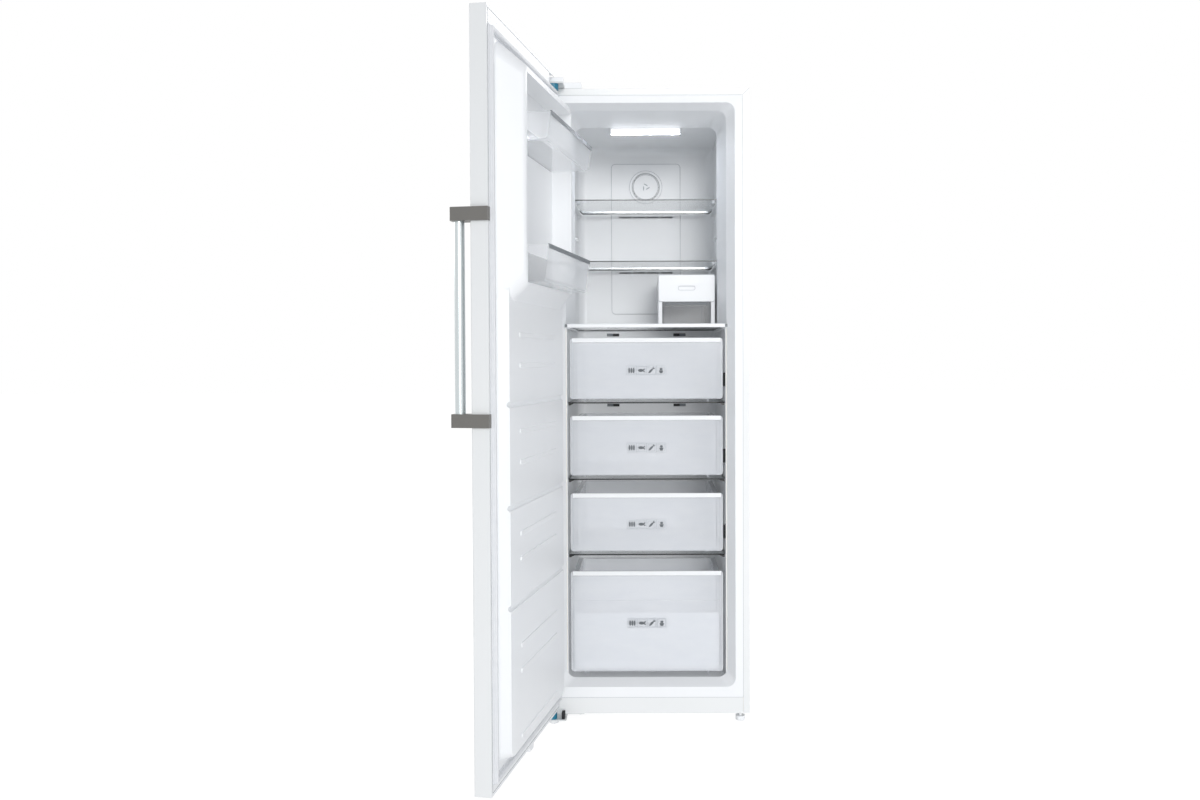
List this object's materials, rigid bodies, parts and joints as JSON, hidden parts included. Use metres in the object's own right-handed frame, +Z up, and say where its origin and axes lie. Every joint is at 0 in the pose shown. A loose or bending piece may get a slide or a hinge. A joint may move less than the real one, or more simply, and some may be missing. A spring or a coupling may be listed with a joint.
{
  "type": "upright freezer",
  "caption": "Tall free-standing upright freezer with its hinged door open: glass shelves, clear pull-out drawers, an ice maker, door pockets and a bar handle.",
  "frame": {"origin": "on the floor, under the middle of the cabinet (without the door)", "axes": "+Z up; the door side faces -Y; +X to the right when facing the door side, hinges on the -X side"},
  "size_m": [0.7425, 1.2169, 1.855],
  "materials": {
    "white_enamel": "white enamelled sheet steel, smooth and slightly glossy",
    "galvanised_steel": "zinc-coated sheet steel",
    "white_plastic": "white polystyrene, moulded or vacuum-formed, soft gloss",
    "clear_plastic": "clear moulded polystyrene",
    "grey_trim": "pale grey moulded plastic trim",
    "clear_glass": "clear toughened glass with dark edges",
    "bright_metal": "polished metal",
    "lit_diffuser": "white diffusing plastic over the lamp",
    "insulation": "rigid polyurethane foam, inside and unseen",
    "pale_gasket": "pale grey soft magnetic gasket",
    "black_rubber": "black moulded rubber",
    "black_plastic": "black moulded plastic",
    "black_paint": "black-painted steel",
    "fin_aluminium": "plain aluminium fins and tube",
    "bracket_steel": "pale painted steel plate",
    "teal_plastic": "teal moulded low-friction plastic",
    "bracket_grey": "grey satin handle brackets",
    "bar_aluminium": "satin anodised aluminium tube"
  },
  "bodies": {
    "cabinet": {"outer_shell": "white_enamel", "back_panel": "galvanised_steel", "base_pan": "galvanised_steel", "plinth": "white_enamel", "inner_liner": "white_plastic", "insulation_foam": "insulation", "levelling_feet": "white_plastic", "rear_feet": "black_plastic", "compressor_tray": "galvanised_steel", "compressor_grommets": "black_rubber", "compressor": "black_paint", "drip_tray": "black_plastic", "condenser_coil": "black_paint", "machine_cover": "black_plastic", "power_inlet": "black_plastic", "evaporator": "fin_aluminium", "fan_motor": "galvanised_steel", "duct_panel": "white_plastic", "duct_disc": "white_plastic", "lamp_housing": "white_plastic", "lamp_diffuser": "lit_diffuser", "upper_shelf": "clear_glass", "lower_shelf": "clear_glass", "shelf_rear_rails": "bright_metal", "section_glass": "clear_glass", "section_trim": "white_plastic", "separator_shelves": "clear_glass", "ice_housing": "white_plastic", "side_buffers": "black_rubber", "top_hinge_bracket": "bracket_steel", "top_hinge_bush": "teal_plastic", "top_hinge_cover": "white_plastic", "bottom_hinge_bracket": "bracket_steel", "bottom_hinge_bush": "teal_plastic", "hinge_pins": "bright_metal", "hinge_screws": "galvanised_steel", "door_stop": "black_rubber"},
    "door": {"door_skin": "white_enamel", "door_top_cap": "white_plastic", "door_bottom_cap": "white_plastic", "door_foam": "insulation", "door_liner": "white_plastic", "door_gasket": "pale_gasket", "upper_pocket": "clear_plastic", "lower_pocket": "clear_plastic", "pocket_trims": "grey_trim", "handle_brackets": "bracket_grey", "handle_bar": "bar_aluminium"},
    "drawer_1": {"drawer_1_basket": "clear_plastic", "drawer_1_strip": "grey_trim"},
    "drawer_2": {"drawer_2_basket": "clear_plastic", "drawer_2_strip": "grey_trim"},
    "drawer_3": {"drawer_3_basket": "clear_plastic", "drawer_3_strip": "grey_trim"},
    "drawer_4": {"drawer_4_basket": "clear_plastic", "drawer_4_strip": "grey_trim"},
    "ice_tray": {"ice_tray_drawer": "white_plastic", "ice_cube_tray": "white_plastic"},
    "ice_box": {"ice_bin": "clear_plastic"},
    "fan": {"fan_impeller": "black_plastic"}
  },
  "joints": [
    {"name": "door_hinge", "type": "hinge", "parent": "cabinet", "child": "door", "pos_m": [-0.2815, -0.336, 0.9], "axis": [0, 0, -1], "range_deg": [-100, 15]},
    {"name": "drawer_1_slide", "type": "slide", "parent": "cabinet", "child": "drawer_1", "axis": [0, -1, 0], "range_m": [0, 0.32]},
    {"name": "drawer_2_slide", "type": "slide", "parent": "cabinet", "child": "drawer_2", "axis": [0, -1, 0], "range_m": [0, 0.32]},
    {"name": "drawer_3_slide", "type": "slide", "parent": "cabinet", "child": "drawer_3", "axis": [0, -1, 0], "range_m": [0, 0.32]},
    {"name": "drawer_4_slide", "type": "slide", "parent": "cabinet", "child": "drawer_4", "axis": [0, -1, 0], "range_m": [0, 0.22]},
    {"name": "ice_tray_slide", "type": "slide", "parent": "cabinet", "child": "ice_tray", "axis": [0, -1, 0], "range_m": [0, 0.2]},
    {"name": "ice_box_slide", "type": "slide", "parent": "cabinet", "child": "ice_box", "axis": [0, -1, 0], "range_m": [0, 0.2]},
    {"name": "fan_spin", "type": "hinge", "parent": "cabinet", "child": "fan", "pos_m": [0, 0.183, 1.6275], "axis": [0, 1, 0], "continuous": true}
  ]
}
